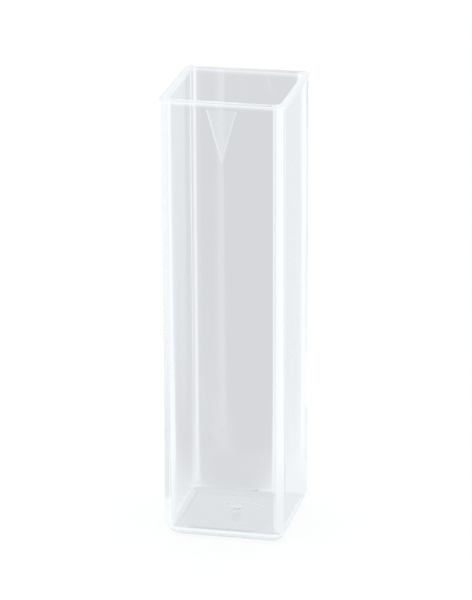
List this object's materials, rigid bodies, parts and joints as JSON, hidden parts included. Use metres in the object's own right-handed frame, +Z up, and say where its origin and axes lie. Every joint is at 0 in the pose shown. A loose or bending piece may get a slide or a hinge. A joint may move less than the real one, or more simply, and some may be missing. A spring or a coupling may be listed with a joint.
{
  "type": "cuvette",
  "caption": "Square clear cuvette with four flat optical sides, an open top with a low rim, a triangular wall mark and a flat foot with a round gate recess.",
  "frame": {"origin": "middle of the foot, on the surface that the cuvette stands on", "axes": "+Z up out of the open top; the wall with the triangular mark faces -Y; +X and +Y are normal to flat sides"},
  "size_m": [0.0126, 0.0126, 0.045],
  "materials": {
    "clear_plastic": "clear polished polystyrene"
  },
  "bodies": {
    "root": {"cuvette": "clear_plastic"}
  },
  "joints": []
}
